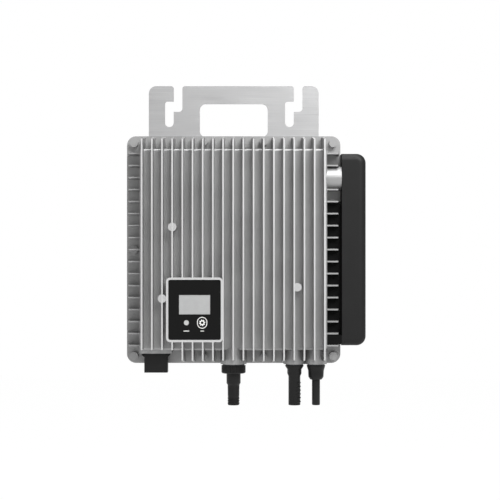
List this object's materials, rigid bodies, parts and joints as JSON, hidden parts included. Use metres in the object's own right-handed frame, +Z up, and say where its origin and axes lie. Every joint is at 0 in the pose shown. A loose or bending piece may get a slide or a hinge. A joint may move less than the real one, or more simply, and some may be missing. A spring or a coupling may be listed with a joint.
{
  "type": "micro inverter",
  "caption": "Finned cast micro inverter hung from a slotted sheet bracket, with a small display, a side wiring box, a capped data port and plug connectors underneath.",
  "frame": {"origin": "rear face of the hanging bracket, midway across it, level with the centres of the two bolts it hangs on", "axes": "+X right seen from the front, +Z up, and the display and fins face -Y"},
  "size_m": [0.285, 0.052, 0.3942],
  "materials": {
    "cast_housing": "painted or fine blasted die casting",
    "stainless": "brushed sheet",
    "zinc_steel": "plated screws",
    "silicone": "matt silicone",
    "black_plastic": "fine moulded grain",
    "overlay_black": "satin printed sheet",
    "window_clear": "clear pane",
    "screen_grey": "liquid crystal behind the pane",
    "lamp_lens": "milky light pipe",
    "button_rubber": "satin rubber",
    "circuit_board": "solder mask",
    "ferrite": "sintered grey",
    "winding": "enamelled copper",
    "capacitor_sleeve": "shrink sleeve",
    "film_box": "moulded box",
    "relay_case": "moulded case",
    "chip_epoxy": "epoxy",
    "heat_pad": "soft silicone sheet",
    "contact_metal": "tin and gold plated",
    "terminal_case": "polyamide"
  },
  "bodies": {
    "inverter": {"housing": "cast_housing", "rear_cover": "stainless", "cover_gasket": "silicone", "hanging_bracket": "stainless", "cover_screws": "zinc_steel", "bracket_screws": "zinc_steel", "board_screws": "zinc_steel", "display_overlay": "overlay_black", "display_window": "window_clear", "display_screen": "screen_grey", "display_board": "circuit_board", "status_lamp": "lamp_lens", "button_switch": "black_plastic", "display_header": "black_plastic", "port_socket": "black_plastic", "port_contacts": "contact_metal", "port_seal": "silicone", "ac_receptacle": "black_plastic", "ac_contact_block": "black_plastic", "ac_seal": "silicone", "ac_sleeve": "black_plastic", "ac_contacts": "contact_metal", "dc_plus_body": "black_plastic", "dc_plus_pin": "contact_metal", "dc_minus_body": "black_plastic", "dc_minus_tube": "contact_metal", "dc_plus_seal": "silicone", "dc_plus_nut": "black_plastic", "dc_minus_seal": "silicone", "dc_minus_nut": "black_plastic", "wiring_box_shell": "black_plastic", "wiring_box_lid": "black_plastic", "wiring_box_screws": "zinc_steel", "cable_grommet": "silicone", "terminal_block": "terminal_case", "terminal_screws": "zinc_steel", "main_board": "circuit_board", "transformer_cores": "ferrite", "transformer_coils": "winding", "filter_choke": "winding", "bulk_capacitors": "capacitor_sleeve", "film_capacitors": "film_box", "mains_relays": "relay_case", "controller_chips": "chip_epoxy", "power_transistors": "chip_epoxy", "heat_pad": "heat_pad", "solar_tabs": "contact_metal"},
    "button": {"set_button": "button_rubber"},
    "lock_ring": {"ac_lock_ring": "black_plastic"},
    "data_cap": {"port_cap": "black_plastic"}
  },
  "joints": [
    {"name": "set_button_press", "type": "slide", "parent": "inverter", "child": "button", "axis": [0, 1, 0], "range_m": [0, 0.0006], "stiffness_N_per_m": 1500, "springref_m": -0.0004},
    {"name": "ac_lock_ring_turn", "type": "hinge", "parent": "inverter", "child": "lock_ring", "pos_m": [0, -0.022, -0.2892], "axis": [0, 0, 1], "range_deg": [-75, 0]},
    {"name": "port_cap_pull", "type": "slide", "parent": "inverter", "child": "data_cap", "axis": [0, 0, -1], "range_m": [0, 0.025]}
  ]
}
